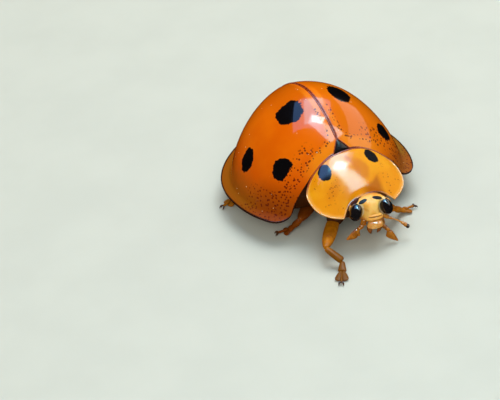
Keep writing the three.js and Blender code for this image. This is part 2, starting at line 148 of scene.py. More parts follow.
def edit(action, **settings):
    """Runs mesh operators on everything selected in the active piece."""
    bpy.ops.object.mode_set(mode="EDIT")
    bpy.ops.mesh.select_all(action="SELECT")
    action(**settings)
    bpy.ops.object.mode_set(mode="OBJECT")


def only(piece):
    bpy.ops.object.select_all(action="DESELECT")
    piece.select_set(True)
    bpy.context.view_layer.objects.active = piece
    return piece


def modified(piece, kind, **settings):
    only(piece)
    modifier = piece.modifiers.new(kind.title(), kind)
    for key, value in settings.items():
        setattr(modifier, key, value)
    bpy.ops.object.modifier_apply(modifier=modifier.name)
    return piece


def tidy_mesh(piece, distance=1e-4):
    only(piece)
    edit(bpy.ops.mesh.remove_doubles, threshold=distance)
    edit(bpy.ops.mesh.normals_make_consistent, inside=False)
    return piece


def face_up(piece):
    """Turns an open sheet so that its faces look up."""
    if sum(face.normal.z for face in piece.data.polygons) < 0:
        edit(bpy.ops.mesh.flip_normals)


def joined(name, pieces):
    bpy.ops.object.select_all(action="DESELECT")
    for piece in pieces:
        piece.select_set(True)
    bpy.context.view_layer.objects.active = pieces[0]
    if len(pieces) > 1:
        bpy.ops.object.join()
    pieces[0].name = pieces[0].data.name = name
    return pieces[0]


def settle(piece, name, finish, nodes=(), at=Matrix.Identity(4), crease=40):
    """Puts a finished piece on the insect, gives it its finish and lets it ride on the body."""
    only(piece)
    piece.name = piece.data.name = name
    piece.matrix_world = BODY @ at
    bpy.ops.object.transform_apply(location=True, rotation=True, scale=True)
    bpy.ops.object.shade_smooth_by_angle(angle=math.radians(crease))
    if not len(piece.data.materials):
        piece.data.materials.append(finish)
    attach(piece, "root")
    if nodes:
        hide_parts(*nodes)
    bpy.ops.object.select_all(action="DESELECT")
    return piece


def shaped_grid(columns, rows, point):
    """A grid whose point (u, v), both from 0 to 1, goes where a function says."""
    bpy.ops.mesh.primitive_grid_add(x_subdivisions=rows, y_subdivisions=columns, size=1)
    piece = bpy.context.object
    for vertex in piece.data.vertices:
        vertex.co = point(vertex.co.x + 0.5, vertex.co.y + 0.5)
    return piece


def strand(points, radii, closed=False, roundness=2):
    """A round cord of cuticle through a row of points, with a radius at each."""
    curve = bpy.data.curves.new("strand", "CURVE")
    curve.dimensions = "3D"
    curve.bevel_depth = 1
    curve.bevel_resolution = roundness
    curve.use_fill_caps = True
    line = curve.splines.new("POLY")
    line.points.add(len(points) - 1)
    line.use_cyclic_u = closed
    for spot, point, radius in zip(line.points, points, radii):
        spot.co = (*point, 1)
        spot.radius = radius
    piece = bpy.data.objects.new("strand", curve)
    bpy.context.collection.objects.link(piece)
    only(piece)
    bpy.ops.object.convert(target="MESH")
    return tidy_mesh(bpy.context.object, 1e-5)


def operator(operation, swapped=False):
    """An operator of Signal, which adds one Math node."""
    def work(self, *others):
        values = (*others, self) if swapped else (self, *others)
        settings = {"operation": operation}
        return self.finish.node("ShaderNodeMath", settings, dict(enumerate(values)))
    return work


class Signal:
    """One output of a shader node, which works in sums as a number does."""

    __add__ = __radd__ = operator("ADD")
    __sub__ = operator("SUBTRACT")
    __rsub__ = operator("SUBTRACT", swapped=True)
    __mul__ = __rmul__ = operator("MULTIPLY")
    __abs__ = operator("ABSOLUTE")
    __or__ = operator("MAXIMUM")
    __and__ = operator("MINIMUM")

    def __init__(self, finish, socket):
        self.finish = finish
        self.socket = socket

    def ramp(self, start, end):
        """Goes smoothly from 0 at start to 1 at end."""
        settings = {"interpolation_type": "SMOOTHSTEP"}
        low, high = min(start, end), max(start, end)
        sockets = {"Value": self, "From Min": low, "From Max": high}
        rising = self.finish.node("ShaderNodeMapRange", settings, sockets)
        return rising if start < end else 1 - rising


class Finish:
    """A procedural material: its uniform values, and a method that adds a node to it."""

    def __init__(self, name, **uniform):
        self.material = bpy.data.materials.new(name)
        self.material.use_nodes = True
        self.tree = self.material.node_tree
        self.shader = self.tree.nodes["Principled BSDF"]
        self.colour = None
        for socket, value in uniform.items():
            self.shader.inputs[socket.replace("_", " ")].default_value = value

    def node(self, kind, settings=None, sockets=None, output=0):
        made = self.tree.nodes.new(kind)
        for key, value in (settings or {}).items():
            setattr(made, key, value)
        for key, value in (sockets or {}).items():
            if isinstance(value, Signal):
                self.tree.links.new(value.socket, made.inputs[key])
            else:
                made.inputs[key].default_value = value
        return Signal(self, made.outputs[output])

    def place(self):
        """Position in the insect's frame, in millimetres."""
        here = self.node("ShaderNodeTexCoord", output="Object")
        sockets = {"Vector": here, "Location": -ORIGIN / MM, "Scale": (1 / MM,) * 3}
        return self.node("ShaderNodeMapping", {"vector_type": "POINT"}, sockets)

    def split(self, vector):
        made = self.node("ShaderNodeSeparateXYZ", None, {0: vector}).socket.node
        return [Signal(self, output) for output in made.outputs]

    def chart(self, name):
        return self.split(self.node("ShaderNodeUVMap", {"uv_map": name}))

    def vector(self, x, y, z):
        return self.node("ShaderNodeCombineXYZ", None, {0: x, 1: y, 2: z})

    def noise(self, at, scale, detail=3.0):
        sockets = {"Vector": at, "Scale": scale, "Detail": detail}
        return self.node("ShaderNodeTexNoise", None, sockets)

    def ragged(self, at, scale, size, detail=3.0):
        """Noise about 0, which makes the edge of a patch uneven."""
        return (self.noise(at, scale, detail) - 0.5) * size

    def cells(self, at, scale):
        """Distance to the nearest of many scattered points."""
        return self.node("ShaderNodeTexVoronoi", None, {"Vector": at, "Scale": scale}, "Distance")

    def patch(self, at, centre, radii, turn=0.0, tilt=0.0):
        """Distance from a centre in units of the radii: 1 on the edge of the patch."""
        sockets = {"Vector": at, "Location": centre, "Rotation": (0, tilt, turn), "Scale": radii}
        moved = self.node("ShaderNodeMapping", {"vector_type": "TEXTURE"}, sockets)
        return self.node("ShaderNodeVectorMath", {"operation": "LENGTH"}, {0: moved}, "Value")

    def nearest_patch(self, at, patches, ragged):
        nearest = None
        for patch in patches:
            far = self.patch(at, *patch) + ragged
            nearest = far if nearest is None else nearest & far
        return nearest

    def mix(self, share, low, high):
        return self.node("ShaderNodeMix", {"data_type": "RGBA"}, {0: share, 6: low, 7: high}, 2)

    def tint(self, share, *tones):
        """Starts the colour with two tones that run together."""
        self.colour = self.mix(share, *(tone(*values) for values in tones))

    def paint(self, share, *coat):
        """Lays a tone, or a colour worked out before, over the colour so far."""
        coat = tone(*coat) if len(coat) == 3 else coat[0]
        self.colour = self.mix(share, self.colour, coat)

    def bump(self, height, strength, distance):
        sockets = {"Height": height, "Strength": strength, "Distance": distance * MM}
        return self.node("ShaderNodeBump", None, sockets)

    def give(self, **signals):
        for socket, signal in {"Base_Color": self.colour, **signals}.items():
            self.tree.links.new(signal.socket, self.shader.inputs[socket.replace("_", " ")])
        return self.material


def tone(red, green, blue):
    """A colour of 0 to 255 values as the linear numbers that shaders use."""
    values = [value / 255 for value in (red, green, blue)]
    linear = [v / 12.92 if v <= 0.04045 else ((v + 0.055) / 1.055) ** 2.4 for v in values]
    return (*linear, 1)


def two_toned(name, scale, pale, deep, rough, relief=None, **uniform):
    """Cuticle of two tones that run together; rough and relief are (spread, base) and a bump."""
    finish = Finish(name, **uniform)
    at = finish.place()
    grain = finish.noise(at, scale)
    finish.tint(grain.ramp(0.3, 0.7), pale, deep)
    if relief:
        finish.give(Normal=finish.bump(finish.noise(at, relief[0]), *relief[1:]))
    return finish.give(Roughness=grain * rough[0] + rough[1])


# Each spot's place, radii and turn.
SHELL_SPOTS = [
    ((-1.57, -0.7), (0.85, 0.74, 0.8), -0.65),
    ((1.6, -0.58), (0.76, 0.74, 0.7), 0.0),
    ((-3.22, -2.36), (0.7, 0.52, 0.58), 0.0),
    ((3.2, -2.4), (0.6, 0.54, 0.64), 0.0),
]
for side in (-1, 1):
    SHELL_SPOTS += [((side * 4.06, 0.02), (0.69, 0.53, 0.69), 0.0),
                    ((side * 2.95, 3.45), (0.66, 0.58, 0.7), 0.0),
                    ((side * 1.05, 3.75), (0.56, 0.55, 0.7), 0.0)]


def shell_finish():
    finish = Finish("orange_shell", Coat_Roughness=0.05, Specular_IOR_Level=0.06)
    at = finish.place()
    x, y, z = finish.split(at)
    aside = abs(x)
    share, behind, _ = finish.chart("shell")
    broad = finish.noise(at, 0.5)
    fine = finish.noise(at, 3.0)

    finish.tint(broad.ramp(0.35, 0.7), (234, 110, 2), (226, 98, 0))
    # Painted shade: the dome is darker lower down, where less of the light from above falls on it.
    low = z.ramp(5.2, 2.2) + (broad - 0.5) * 0.3
    finish.paint(low.ramp(0.1, 1.0) * 0.8, 214, 86, 0)
    finish.paint(x.ramp(0.0, 0.8) * 0.8, 224, 116, 4)
    finish.paint(z.ramp(5.4, 6.3) * x.ramp(0.2, -0.2) * 0.6, 202, 96, 2)
    side = share + (fine - 0.5) * 0.04
    clear = finish.mix(x.ramp(-1.0, 1.0), tone(152, 86, 14), tone(146, 106, 36))
    front_side = y.ramp(-0.9, -2.6)
    in_shade = front_side * x.ramp(1.0, -1.0)
    finish.paint(side.ramp(0.78, 0.93) * (1 - in_shade * 0.3), clear)
    finish.paint(side.ramp(0.81, 0.93) * in_shade * 0.9, 110, 54, 0)
    finish.paint(side.ramp(0.94, 0.985) * 0.45, 150, 78, 18)

    # The lesser distance from the seam and the base, with a round corner where they meet.
    row = finish.node("ShaderNodeMath", {"operation": "SMOOTH_MIN"}, {0: aside, 1: behind, 2: 0.8})
    band = row.ramp(0.5, 0.3) * y.ramp(1.2, -1.0) * aside.ramp(2.7, 1.5)
    finish.paint(band * 0.7, 246, 146, 24)
    finish.paint(aside.ramp(0.35, 0.12) * 0.6, 236, 118, 20)
    seam = finish.mix(finish.noise(at, 1.6).ramp(0.3, 0.7), tone(184, 86, 40), tone(160, 64, 24))
    finish.paint(aside.ramp(0.11, 0.075), seam)

    wide = finish.noise(at, 1.1)
    pits = finish.cells(at, 6.0)
    # Painted shade: the shoulders, which face forward and down, are darker.
    shoulder = z.ramp(3.8, 2.5) * y.ramp(-1.0, -2.4) * aside.ramp(2.0, 3.0)
    finish.paint(shoulder * 0.55, 160, 66, 0)
    lining = row.ramp(0.26, 0.32) * row.ramp(0.5, 0.42) * y.ramp(-0.9, -2.0)
    base_row = behind.ramp(1.5, 0.6) * behind.ramp(0.2, 0.3) * aside.ramp(1.0, 2.0) * 0.7
    flank = z.ramp(3.1, 2.2) * y.ramp(-0.3, -1.5)
    pitted = (flank | lining | base_row) & (wide.ramp(0.2, 0.45) | flank | lining)
    pit = pits.ramp(0.4, 0.26) * pitted.ramp(0.2, 0.5)
    finish.paint(pit * 0.9, 92, 18, 4)

    ragged = finish.ragged(at, 6.0, 0.36, 2.0) + finish.ragged(at, 1.6, 0.5, 0.0)
    spots = [(shell_point(*place), radii, turn) for place, radii, turn in SHELL_SPOTS]
    black = finish.nearest_patch(at, spots, ragged).ramp(1.03, 0.97)
    finish.paint(black, 12, 10, 12)
    finish.paint(share.ramp(0.985, 0.995), 60, 26, 8)

    # Painted highlight: a few tiny pale glints scattered over the shell, also raised a little in
    # the bump.
    painted_glint = finish.cells(at, 1.9).ramp(0.07, 0.05) * (1 - black) * wide.ramp(0.42, 0.5)
    finish.paint(painted_glint, 255, 226, 170)
    surface = fine * 0.1 - pit * 0.8 + painted_glint * 0.3
    dull = side.ramp(0.84, 0.93) * front_side
    return finish.give(Roughness=fine * 0.1 + 0.16 + dull * 0.35,
                       Coat_Weight=(1 - dull) * 0.5, Normal=finish.bump(surface, 0.5, 0.02))


def border_finish():
    finish = Finish("shell_border", Coat_Weight=0.4, Coat_Roughness=0.1)
    at = finish.place()
    x, y, z = finish.split(at)
    seam = finish.noise(at, 4.0).ramp(0.3, 0.7)
    finish.tint(seam, (160, 66, 30), (128, 46, 18))
    finish.paint(abs(x).ramp(0.6, 3.0), 52, 22, 8)
    return finish.give(Roughness=finish.noise(at, 9.0) * 0.15 + 0.2)


SHELL_COLUMNS = 150
SHELL_ROWS = 64
SHELL_CROWDING = 0.08
SHELL_WALL = 0.13
SEAM_HALF = 0.012
SEAM_RADIUS = 0.042
BORDER_RADIUS = 0.03
SIDE_BORDER_RADIUS = 0.02
SIDE_BORDER_FROM = 2.2
BORDER_STEPS = 240
SEAM_STEPS = 60


def shell_place(share, turn, side):
    """Point at a share of the way to a wing case's edge, with turn 0 at the tail, 1 in front."""
    angle = math.pi * (turn - SHELL_CROWDING * math.sin(2 * math.pi * turn))
    radius = edge_radius(angle) * share
    x, y = radius * math.sin(angle), radius * math.cos(angle)
    height = shell_height(x, y)
    return Vector((side * (x + SEAM_HALF * (1 - share * math.sin(angle))), y, height))


def charted(piece, name, numbers_at):
    """Gives a piece a chart of two numbers, worked out from the place of each point."""
    for layer in list(piece.data.uv_layers):
        piece.data.uv_layers.remove(layer)
    layer = piece.data.uv_layers.new(name=name)
    for loop in piece.data.loops:
        layer.data[loop.index].uv = numbers_at(piece.data.vertices[loop.vertex_index].co)
    return piece


def shell_chart(place):
    """How far a point is on the way to the edge, and how far behind the base."""
    return out_share(place.x, place.y), place.y - base_y(place.x)


def walled(sheet, wall, finishes):
    """Gives a sheet its wall below it, and its finishes: outside, border and underside."""
    tidy_mesh(sheet)
    face_up(sheet)
    for finish in finishes:
        sheet.data.materials.append(finish)
    modified(sheet, "SOLIDIFY", thickness=wall, offset=-1, material_offset=2,
             material_offset_rim=1)


shell, border = shell_finish(), border_finish()
under_shell = two_toned("shell_underside", 3.0, (96, 44, 10), (66, 28, 8), (0.2, 0.35))
for name, side in (("left", 1), ("right", -1)):
    case = shaped_grid(SHELL_COLUMNS, SHELL_ROWS, lambda u, v: shell_place(u ** 0.8, v, side))
    charted(case, "shell", shell_chart)
    walled(case, SHELL_WALL, (shell, border, under_shell))

    around = [shell_place(1, i / BORDER_STEPS, side) for i in range(BORDER_STEPS + 1)]
    back = [around[-1].lerp(around[0], i / SEAM_STEPS) for i in range(1, SEAM_STEPS)]
    seam = [shell_point(side * (SEAM_HALF + 0.045), place.y, -0.02) for place in back]
    radii = [SIDE_BORDER_RADIUS if abs(place.x) > SIDE_BORDER_FROM else BORDER_RADIUS
             for place in around]
    rim = strand(around + seam, radii + [SEAM_RADIUS] * len(seam), closed=True)
    rim.data.materials.append(border)
    settle(joined("case", [case, rim]), f"wing_case_{name}", None,
           [f"elytron_{name}"], crease=50)

# ---- Scutellum ----
# The small black triangle between the wing cases, a plate of the chest that shows in the notch
# where they meet. It lies almost level with them and is slightly crowned.


def black_finish():
    finish = Finish("black_cuticle", Coat_Weight=0.25, Coat_Roughness=0.1, Specular_IOR_Level=0.2)
    at = finish.place()
    grain = finish.noise(at, 6.0)
    finish.tint(grain.ramp(0.3, 0.8), (14, 11, 12), (34, 24, 22))
    normal = finish.bump(finish.cells(at, 9.0).ramp(0.0, 0.2), 0.4, 0.015)
    return finish.give(Roughness=grain * 0.15 + 0.18, Normal=normal)


black_cuticle = black_finish()
SCUTELLUM_WALL = 0.4


def scutellum_point(u, v):
    tip, front = BASE_Y + SCUTELLUM_LENGTH, BASE_Y - 0.03
    y = blend_of(front, tip, v)
    half = SCUTELLUM_HALF_WIDTH * (1 - v) ** 0.85 + 0.015
    x = (2 * u - 1) * half
    crown = 0.07 * (1 - (2 * u - 1) ** 2) * (1 - v) ** 0.5
    fall = 0.14 * max(0, 1 - v / 0.12) ** 2
    return shell_point(x, y, crown - fall - 0.02)


scutellum = shaped_grid(20, 20, scutellum_point)
tidy_mesh(scutellum)
face_up(scutellum)
modified(scutellum, "SOLIDIFY", thickness=SCUTELLUM_WALL, offset=-1)
modified(scutellum, "BEVEL", width=0.02, segments=2, limit_method="ANGLE")
settle(scutellum, "scutellum_plate", black_cuticle, ["scutellum"])

# ---- Underside ----
# Chest and belly under the wing cases: one skin of overlapping brown plates, with the round hip
# joints of the middle and hind legs let into it.
BELLY_DEPTH = 0.6
BELLY_INSET = 1 - (RIM_WIDTH + BELLY_DEPTH) / HALF_WIDTH
BELLY_HEIGHT = 0.95
PLATE_LINES = (-1.9, -0.1, 1.0, 1.85, 2.6, 3.25, 3.8)
HIPS = {
    "front_left": (1.15, -4.45, 0.95),
    "front_right": (-1.45, -4.55, 0.95),
    "middle_left": (1.3, -1.8, 0.7),
    "middle_right": (-1.3, -1.9, 0.7),
    "hind_left": (1.3, 0.9, 0.75),
    "hind_right": (-1.3, 0.8, 0.75),
}


def belly_finish():
    finish = Finish("belly_cuticle", Coat_Weight=0.3, Coat_Roughness=0.2)
    at = finish.place()
    x, y, z = finish.split(at)
    grain = finish.noise(at, 2.5)
    finish.tint(grain.ramp(0.3, 0.75), (160, 92, 22), (116, 58, 12))
    finish.paint(abs(x).ramp(1.5, 4.0), 176, 108, 36)
    # Painted shade: darker in front, where the belly and the chest lie in the shadow of the
    # shoulders and the pronotum.
    finish.paint(y.ramp(-1.8, -2.7), 78, 38, 8)
    pits = finish.cells(at, 5.0).ramp(0.0, 0.25)
    normal = finish.bump(pits, 0.4, 0.03)
    return finish.give(Roughness=grain * 0.2 + 0.3, Normal=normal)


belly_cuticle = belly_finish()


def ball(around, over, radii=(1, 1, 1)):
    bpy.ops.mesh.primitive_uv_sphere_add(segments=around, ring_count=over, radius=1)
    edit(bpy.ops.transform.resize, value=radii, center_override=(0, 0, 0))
    return bpy.context.object


def round_body(point, around, over):
    """A ball of radius 1 whose points go where a function says."""
    piece = ball(around, over)
    for vertex in piece.data.vertices:
        vertex.co = point(*vertex.co)
    return tidy_mesh(piece, 1e-5)


def underside_point(x, y, up):
    angle, share = math.atan2(x, y), math.hypot(x, y) ** 0.8
    radius = oval_radius(abs(angle)) * BELLY_INSET
    x, y = radius * share * math.sin(angle), radius * share * math.cos(angle)
    front = BASE_Y + 0.05 + 0.4 * smooth(abs(x), 1.6, 3.6)
    if y < front:
        x, y = x * front / y, front
    if up > 0:
        return Vector((x, y, dome_height(x, y, BELLY_DEPTH) - 0.03))
    groove = sum(0.09 * math.exp(-((y - line) / 0.07) ** 2) for line in PLATE_LINES)
    lap = sum(0.07 * math.exp(-(y - line) / 0.35) for line in PLATE_LINES if y > line)
    bulge = -0.12 * math.exp(-(x / 0.7) ** 2)
    edge = 1.0 * max(0, share - 0.9) / 0.1
    sole = BELLY_HEIGHT + 0.02 + 0.012 * (x * x + 0.6 * y * y) + groove - lap * 0.6 + bulge
    rise = 0.9 * smooth(y, front + 0.9, front) ** 2
    return Vector((x, y, min(sole + edge * 0.3 + rise, dome_height(x, y, BELLY_DEPTH) - 0.03)))


def hip_joint(hip, radii):
    """The rounded first joint of a leg, let into the body over the root of the thigh."""
    x, y, z = hip
    piece = ball(40, 24, radii)
    edit(bpy.ops.transform.translate, value=(x * 0.9, y, z + 0.22))
    return piece


underside = [round_body(underside_point, 120, 90)]
underside += [hip_joint(hip, (0.55, 0.34, 0.34)) for name, hip in HIPS.items()
              if "front" not in name]
settle(joined("belly", underside), "belly", belly_cuticle, ["abdomen", "thorax"])

# ---- Pronotum ----
# The amber shield over the chest, one arched plate with clear thin margins, two black spots and a
# deep bay in front that takes the head.
SHIELD_HALF_WIDTH = 2.77
SHIELD_Y = -4.59
SHIELD_REAR = 1.1
SHIELD_FRONT = 1.68
SHIELD_REAR_ROUNDNESS = 2.9
SHIELD_FRONT_ROUNDNESS = 2.46
SHIELD_TOP = 4.36
SHIELD_FALL = 2.41
SHIELD_FALL_POWER = 1.43
SHIELD_ARCH = 1.48
SHIELD_ARCH_CHANGE = -1.16
SHIELD_ARCH_POWER = 2.35
CORNER_X = 1.58
BAY_DEPTH = 0.72
BAY_POWER = 3
COLLAR = 0.2
COLLAR_FALL = 0.09
SHIELD_WALL = 0.12
SHIELD_RIM_RADIUS = 0.045
SHIELD_RIM_STEPS = 300


def shield_height(x, y):
    forward = (SHIELD_Y + SHIELD_REAR - y) / (SHIELD_REAR + SHIELD_FRONT)
    share = min(1.2, max(0, forward))
    arch = SHIELD_ARCH + SHIELD_ARCH_CHANGE * share
    ridge = SHIELD_TOP - SHIELD_FALL * share ** SHIELD_FALL_POWER
    return ridge - arch * (abs(x) / SHIELD_HALF_WIDTH) ** SHIELD_ARCH_POWER


def bay_y(x, depth):
    power = SHIELD_FRONT_ROUNDNESS
    across = (CORNER_X / SHIELD_HALF_WIDTH) ** power
    corner = SHIELD_Y - SHIELD_FRONT * (1 - across) ** (1 / power)
    return corner + depth * (1 - (abs(x) / CORNER_X) ** BAY_POWER)


def shield_radius(angle):
    rear = math.cos(angle) > 0
    length = SHIELD_REAR if rear else SHIELD_FRONT
    power = SHIELD_REAR_ROUNDNESS if rear else SHIELD_FRONT_ROUNDNESS
    across, along = abs(math.sin(angle)) / SHIELD_HALF_WIDTH, abs(math.cos(angle)) / length
    radius = (across ** power + along ** power) ** (-1 / power)
    if rear or abs(radius * math.sin(angle)) >= CORNER_X:
        return radius
    low, high = 0.0, radius
    for _ in range(30):
        half = (low + high) / 2
        x, y = half * math.sin(angle), SHIELD_Y + half * math.cos(angle)
        low, high = (half, high) if y > bay_y(x, BAY_DEPTH - COLLAR) else (low, half)
    return low


def shield_place(share, turn):
    angle = 2 * math.pi * turn
    radius = shield_radius(angle) * share
    x, y = radius * math.sin(angle), SHIELD_Y + radius * math.cos(angle)
    turned_down = 0
    if abs(x) < CORNER_X:
        into_bay = (bay_y(x, BAY_DEPTH + 0.05) - y) / (COLLAR + 0.05)
        turned_down = COLLAR_FALL * max(0, into_bay) ** 2 * (1 - (abs(x) / CORNER_X) ** 4)
    return Vector((x, y, shield_height(x, y) - turned_down))


def shield_finish():
    finish = Finish("amber_shield", Coat_Roughness=0.13, Specular_IOR_Level=0.06,
                    Subsurface_Weight=0.15, Subsurface_Scale=0.25 * MM)
    at = finish.place()
    x, y, z = finish.split(at)
    folded = finish.vector(abs(x), y, z)
    share, _, _ = finish.chart("shell")
    cloud = finish.noise(at, 1.2)
    fine = finish.noise(at, 4.0)
    finish.tint(cloud.ramp(0.35, 0.7), (240, 162, 22), (232, 146, 8))
    lobe = abs(x).ramp(0.9, 1.8) * y.ramp(-4.4, -5.3)
    finish.paint(lobe * 0.7, 236, 148, 14)
    edge = share + (fine - 0.5) * 0.05
    finish.paint(edge.ramp(0.92, 0.985) * 0.7, 250, 186, 92)
    smudge = finish.patch(at, (0.45, -4.6, 3.85), (0.46, 0.75, 0.9), 0.35) + (cloud - 0.5) * 1.2
    finish.paint(smudge.ramp(1.1, 0.5) * 0.6, 206, 112, 30)
    stain = finish.patch(at, (0.05, -4.0, 4.2), (0.14, 0.3, 0.4), 0.3) + (cloud - 0.5) * 1.0
    finish.paint(stain.ramp(1.1, 0.5) * 0.45, 196, 110, 70)
    # Painted shade: the hollow of the bay over the head is browner, mostly right of the middle,
    # where it is in shade.
    depth = (y + 5.2) - (abs(x) * abs(x) * abs(x)) * 0.19
    bay = depth.ramp(-0.02, -0.2) * abs(x).ramp(1.35, 1.0) * x.ramp(-0.3, 0.5)
    finish.paint(bay * 0.75, 176, 92, 12)
    blush = finish.patch(at, (-1.5, -4.95, 3.2), (0.7, 0.3, 0.6), 0.5) + (cloud - 0.5) * 1.4
    finish.paint(blush.ramp(1.3, 0.4) * 0.5, 214, 118, 10)
    pits = finish.cells(at, 7.0).ramp(0.36, 0.24)
    pitted = finish.noise(at, 1.6).ramp(0.5, 0.62) * abs(x).ramp(0.8, 1.5) | blush.ramp(1.1, 0.6)
    finish.paint(pits * pitted * 0.7, 150, 66, 6)
    ragged = finish.ragged(at, 7.0, 0.3, 2.0) + finish.ragged(at, 2.0, 0.3, 0.0)
    spot = finish.patch(folded, (1.44, -4.03, shield_height(1.44, -4.03)), (0.37, 0.45, 0.5), 0.2)
    finish.paint((spot + ragged).ramp(1.04, 0.96), 12, 10, 12)
    normal = finish.bump(fine * 0.15 - pits * pitted, 0.5, 0.02)
    worn = x.ramp(0.0, 0.9)
    return finish.give(Roughness=fine * 0.1 + 0.14 + worn * 0.3,
                       Coat_Weight=(1 - worn) * 0.9, Normal=normal)


def shield_border_finish():
    finish = Finish("shield_border", Coat_Weight=0.4, Coat_Roughness=0.1, Subsurface_Weight=0.2,
                    Subsurface_Scale=0.2 * MM)
    at = finish.place()
    x, y, z = finish.split(at)
    grain = finish.noise(at, 4.0)
    finish.tint(grain.ramp(0.3, 0.7), (244, 180, 96), (226, 150, 60))
    # Painted shadow: the border in the bay is dark, as a thin line of shadow over the head.
    bay_shadow_line = y.ramp(-5.95, -5.6) * abs(x).ramp(1.5, 1.2)
    finish.paint(bay_shadow_line, 112, 52, 12)
    finish.paint(y.ramp(-4.3, -3.8), 170, 74, 16)
    return finish.give(Roughness=grain * 0.15 + 0.2)


def shield_chart(place):
    """How far a point is on the way from the middle to the edge."""
    x, y = place.x, place.y - SHIELD_Y
    reach = math.hypot(x, y)
    return (reach / shield_radius(math.atan2(x, y)) if reach > 1e-6 else 0), 0


shield_border = shield_border_finish()
shield = shaped_grid(260, 40, lambda u, v: shield_place(u ** 0.85, v))
charted(shield, "shell", shield_chart)
walled(shield, SHIELD_WALL, (shield_finish(), shield_border, under_shell))
around = [shield_place(0.995, i / SHIELD_RIM_STEPS) for i in range(SHIELD_RIM_STEPS)]
shield_rim = strand(around, [SHIELD_RIM_RADIUS] * SHIELD_RIM_STEPS, closed=True)
shield_rim.data.materials.append(shield_border)
settle(joined("shield", [shield, shield_rim]), "shield", None, ["pronotum"],
       crease=50)

# ---- Front of the chest ----
# The brown ring of the body under the pronotum, from which the front legs and the neck come.
PROTHORAX_Y = -4.4
PROTHORAX_HALF = (2.05, 0.88)
PROTHORAX_DEPTH = 0.97
PROTHORAX_FLOOR = 1.15


def prothorax_point(x, y, up):
    angle, reach = math.atan2(x, y), math.hypot(x, y) ** 0.7
    squared = [math.copysign(abs(c) ** 0.75, c) for c in (math.sin(angle), math.cos(angle))]
    x = squared[0] * PROTHORAX_HALF[0] * reach
    y = PROTHORAX_Y + squared[1] * PROTHORAX_HALF[1] * reach
    if up > 0:
        return Vector((x, y, shield_height(x, y) - PROTHORAX_DEPTH - 0.2 * (1 - up)))
    keel = -0.1 * math.exp(-(x / 0.35) ** 2)
    return Vector((x, y, PROTHORAX_FLOOR + 0.12 * x * x + keel + 0.2 * (1 + up)))


prothorax = [round_body(prothorax_point, 64, 40)]
prothorax += [hip_joint(HIPS[name], (0.5, 0.42, 0.46)) for name in ("front_left", "front_right")]
settle(joined("chest", prothorax), "chest", belly_cuticle, ["prothorax"])

# ---- Head ----
# A tan capsule, bluff in front and narrowing to the mouth, drawn back under the pronotum. It has
# a shallow socket with a pale ring for each eye, and dark marks across its crown.
HEAD = (Matrix.Translation(EYES_AT) @ Matrix.Rotation(math.radians(-8), 4, "Z")
        @ Matrix.Rotation(math.radians(4.5), 4, "Y"))
HEAD_RADII = Vector((1.2, 0.73, 0.78))
HEAD_CENTRE = Vector((0, 0.27, -0.1))
HEAD_NARROWING = 0.42
EYE_X = 0.87
EYE_SHIFT = 0.07
EYE_RADII = Vector((0.35, 0.38, 0.48))
EYE_LEAN = 0.39
EYE_TIP = 0.42
FOLDS = (-0.19, -0.4)
# Each mark's middle, radii, turn and tilt.
CROWN_MARKS = (
    ((-0.52, 0.02, 0.57), (0.27, 0.13, 0.1), 0.0, -0.42),
    ((0.3, 0.03, 0.6), (0.3, 0.14, 0.08), 0.0, 0.3),
    ((-0.93, 0.42, 0.46), (0.34, 0.3, 0.26), 0.0, 0.0),
    ((0.93, 0.42, 0.46), (0.34, 0.3, 0.26), 0.0, 0.0),
    ((-0.6, 0.46, 0.66), (0.34, 0.14, 0.12), 0.0, -0.45),
    ((0.6, 0.46, 0.66), (0.34, 0.14, 0.12), 0.0, 0.45),
)


def from_eye(point):
    """Distance from the middle of the nearer eye, seen from in front: 1 on the eye's outline."""
    aside, up = abs(point.x + EYE_SHIFT) - EYE_X, point.z
    across = aside * math.cos(EYE_LEAN) + up * math.sin(EYE_LEAN)
    along = up * math.cos(EYE_LEAN) - aside * math.sin(EYE_LEAN)
    return math.hypot(across / EYE_RADII.x, along / EYE_RADII.z)


def capsule_point(x, y, up):
    narrow = 1 - HEAD_NARROWING * smooth(up, 0.1, -1.0)
    bluff = y * (1.1 - 0.1 * y * y)
    flat = Vector((x * HEAD_RADII.x * narrow, bluff * HEAD_RADII.y, up * HEAD_RADII.z))
    at = flat + HEAD_CENTRE
    if y > 0:
        return at
    below = smooth(at.z, 0.64, 0.44)
    socket = max(0, -0.02 - at.y) * smooth(from_eye(at), 1.8, 0.95) * below
    return at + Vector((0, socket, 0))


